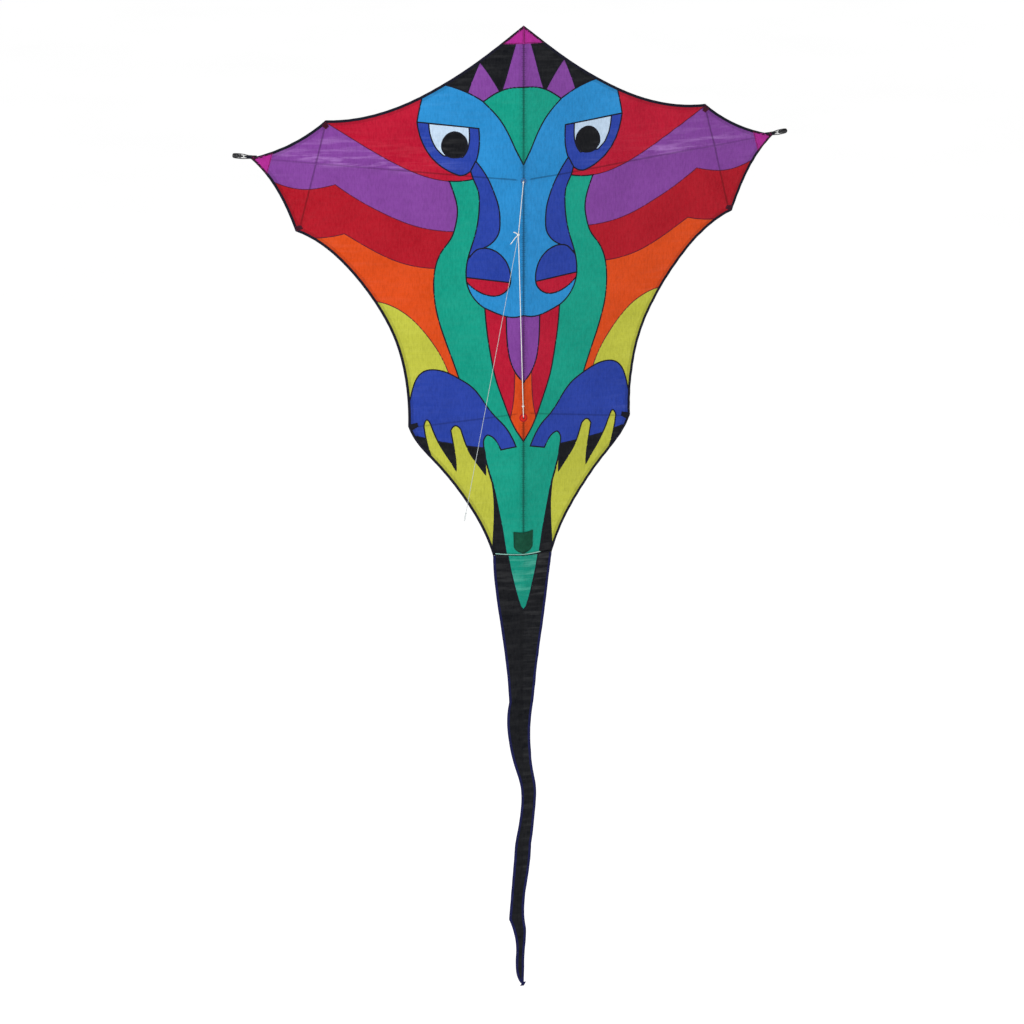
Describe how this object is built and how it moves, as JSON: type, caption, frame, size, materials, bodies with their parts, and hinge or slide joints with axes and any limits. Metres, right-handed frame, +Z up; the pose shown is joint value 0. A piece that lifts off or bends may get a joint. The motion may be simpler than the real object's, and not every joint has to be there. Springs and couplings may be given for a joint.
{
  "type": "kite",
  "caption": "Dragon-shaped single-line kite with pieced ripstop sail, crossed rod frame, two-leg bridle and a long tapering tail.",
  "frame": {"origin": "centre of the flat back pad of the upper spreader hub, on the back of the spine", "axes": "+Z runs up the spine to the nose, +X towards the wing on the right of someone who looks at the picture side, +Y out of the back; the picture side of the sail faces -Y"},
  "size_m": [1.4102, 0.4637, 2.485],
  "materials": {
    "aluminium_ferrule": "satin",
    "binding_tape": "woven",
    "bridle_cord": "braided",
    "carbon_rod": "satin",
    "centre_cloth": "woven",
    "fibreglass_rod": "satin",
    "hook_and_loop": "napped",
    "hub_plastic": "matte",
    "patch_orange": "woven",
    "ripstop_black": "ripstop weave",
    "ripstop_dark_blue": "ripstop weave",
    "ripstop_green": "ripstop weave",
    "ripstop_light_blue": "ripstop weave",
    "ripstop_orange": "ripstop weave",
    "ripstop_purple": "ripstop weave",
    "ripstop_red": "ripstop weave",
    "ripstop_white": "ripstop weave",
    "ripstop_yellow": "ripstop weave",
    "rubber_ring": "matte",
    "vinyl": "matte",
    "webbing": "woven"
  },
  "bodies": {
    "spine_frame": {"spine_upper": "carbon_rod", "spine_lower": "carbon_rod", "spine_ferrule": "aluminium_ferrule", "spine_caps": "vinyl", "spreader_hub": "hub_plastic", "lower_hub": "hub_plastic", "stopper_rings": "rubber_ring", "spine_sleeve": "centre_cloth", "nose_pocket": "webbing", "spine_patch": "hook_and_loop", "bridle_patches": "patch_orange"},
    "left_wing": {"left_batten": "fibreglass_rod", "left_black_panels": "ripstop_black", "left_corner_pockets": "webbing", "left_edge_binding": "binding_tape", "left_eye_white": "ripstop_white", "left_face_trim_panels": "ripstop_dark_blue", "left_green_panels": "ripstop_green", "left_head_panel": "ripstop_light_blue", "left_lower_spreader": "carbon_rod", "left_purple_trim_panels": "ripstop_purple", "left_red_face_panels": "ripstop_red", "left_spreader_sleeves": "vinyl", "left_thigh_panel": "ripstop_dark_blue", "left_tip_fitting": "vinyl", "left_upper_spreader": "carbon_rod", "left_wing_orange": "ripstop_orange", "left_wing_purple": "ripstop_purple", "left_wing_red": "ripstop_red", "left_wing_yellow": "ripstop_yellow"},
    "right_wing": {"right_batten": "fibreglass_rod", "right_black_panels": "ripstop_black", "right_corner_pockets": "webbing", "right_edge_binding": "binding_tape", "right_eye_white": "ripstop_white", "right_face_trim_panels": "ripstop_dark_blue", "right_green_panels": "ripstop_green", "right_head_panel": "ripstop_light_blue", "right_lower_spreader": "carbon_rod", "right_purple_trim_panels": "ripstop_purple", "right_red_face_panels": "ripstop_red", "right_spreader_sleeves": "vinyl", "right_thigh_panel": "ripstop_dark_blue", "right_tip_fitting": "vinyl", "right_upper_spreader": "carbon_rod", "right_wing_orange": "ripstop_orange", "right_wing_purple": "ripstop_purple", "right_wing_red": "ripstop_red", "right_wing_yellow": "ripstop_yellow"},
    "bridle": {"bridle_upper_leg": "bridle_cord", "bridle_lower_leg": "bridle_cord", "bridle_knots": "bridle_cord", "tow_knot": "bridle_cord"},
    "flying_line": {"leader_line": "bridle_cord", "leader_loop": "bridle_cord"},
    "pocket_flap": {"pocket_flap": "hook_and_loop"},
    "tail_upper": {"tail_upper": "ripstop_black"},
    "tail_middle": {"tail_middle": "ripstop_black"},
    "tail_lower": {"tail_lower": "ripstop_black"}
  },
  "joints": [
    {"name": "right_wing_fold", "type": "hinge", "parent": "spine_frame", "child": "right_wing", "pos_m": [0.009, -0.0056, 0], "axis": [0, 0, 1], "range_deg": [-9, 30]},
    {"name": "left_wing_fold", "type": "hinge", "parent": "spine_frame", "child": "left_wing", "pos_m": [-0.009, -0.0056, 0], "axis": [0, 0, -1], "range_deg": [-9, 30]},
    {"name": "bridle_swing", "type": "hinge", "parent": "spine_frame", "child": "bridle", "pos_m": [0, -0.0143, -0.3], "axis": [0, 0, 1], "range_deg": [-20, 58]},
    {"name": "line_pull", "type": "hinge", "parent": "bridle", "child": "flying_line", "pos_m": [-0.038, -0.1221, -0.113], "axis": [1, 0, 0], "range_deg": [-50, 5]},
    {"name": "spine_flap_open", "type": "hinge", "parent": "spine_frame", "child": "pocket_flap", "pos_m": [0, -0.0109, -0.9466], "axis": [-1, 0, 0], "range_deg": [0, 70]},
    {"name": "tail_root", "type": "hinge", "parent": "spine_frame", "child": "tail_upper", "pos_m": [0, -0.0118, -0.957], "axis": [1, 0, 0], "range_deg": [-35, 35]},
    {"name": "tail_bend_upper", "type": "hinge", "parent": "tail_upper", "child": "tail_middle", "pos_m": [-0.005, -0.0118, -1.34], "axis": [1, 0, 0], "range_deg": [-35, 35]},
    {"name": "tail_bend_lower", "type": "hinge", "parent": "tail_middle", "child": "tail_lower", "pos_m": [0, -0.0118, -1.72], "axis": [1, 0, 0], "range_deg": [-35, 35]}
  ]
}
